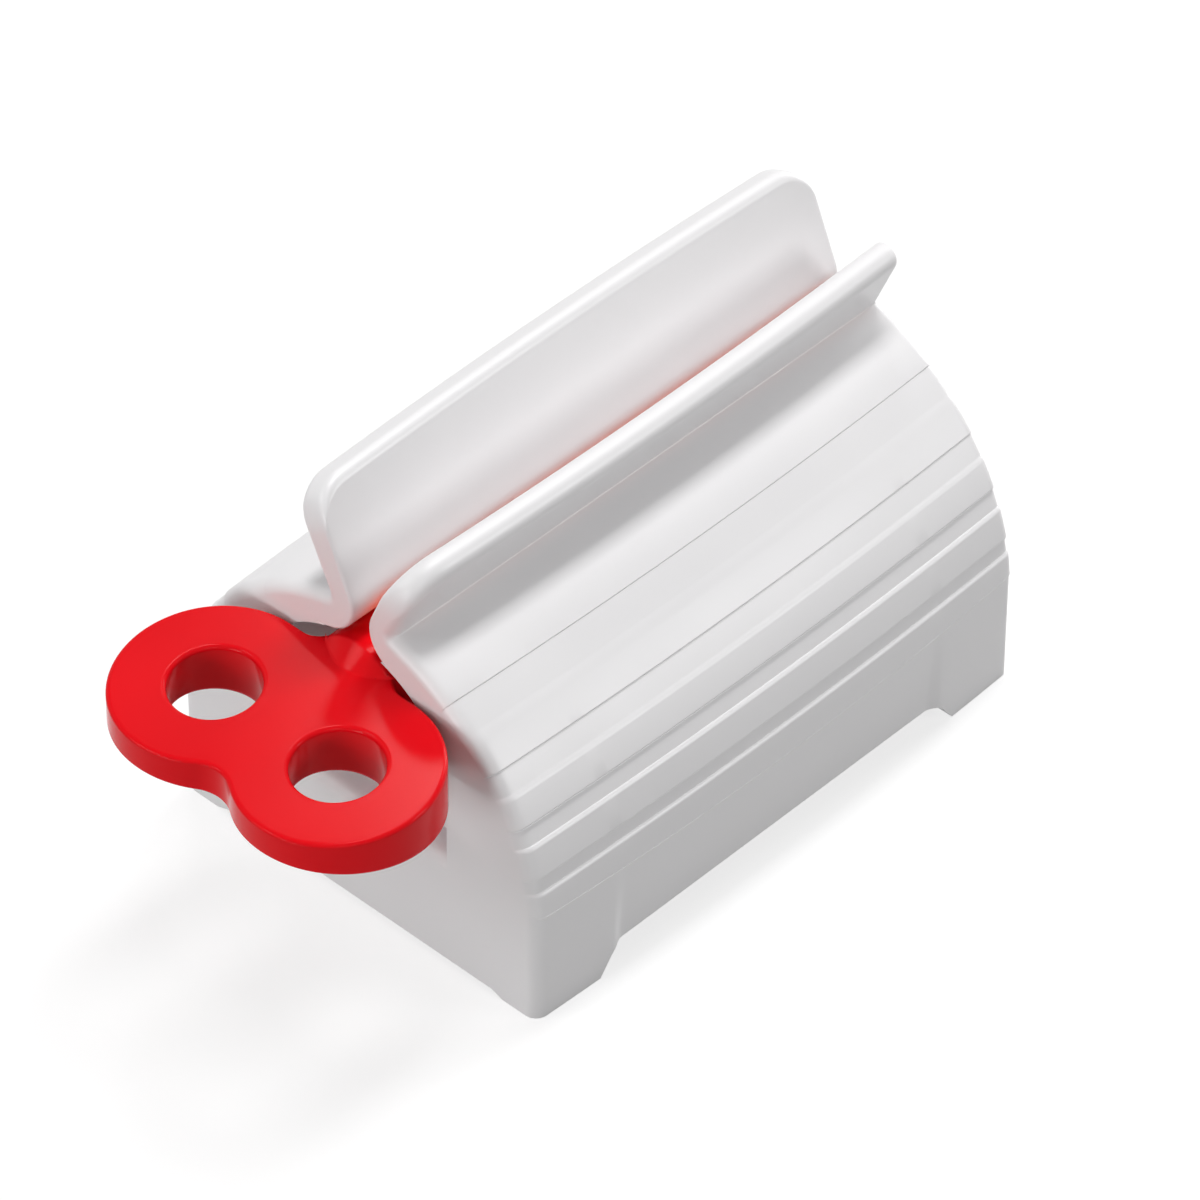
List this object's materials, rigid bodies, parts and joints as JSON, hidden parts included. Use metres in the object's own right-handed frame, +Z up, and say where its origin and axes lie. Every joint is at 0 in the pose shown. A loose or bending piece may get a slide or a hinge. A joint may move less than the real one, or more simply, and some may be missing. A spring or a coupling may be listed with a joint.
{
  "type": "toothpaste tube squeezer",
  "caption": "White moulded tube squeezer on low feet with a lip and a tall leaning wall over a slotted roller, turned by a red key with a looped flat handle.",
  "frame": {"origin": "on the table, in the middle of the bounding box", "axes": "+X along the roller, away from the key's handle; -Y towards the short front lip; +Z up"},
  "size_m": [0.089, 0.0496, 0.0499],
  "materials": {
    "white_plastic": "white moulded plastic, satin",
    "red_plastic": "red moulded plastic, satin"
  },
  "bodies": {
    "base": {"holder": "white_plastic"},
    "key": {"winding_key": "red_plastic"}
  },
  "joints": [
    {"name": "key_turn", "type": "hinge", "parent": "base", "child": "key", "pos_m": [0, -0.00047, 0.02879], "axis": [1, 0, 0], "continuous": true}
  ]
}
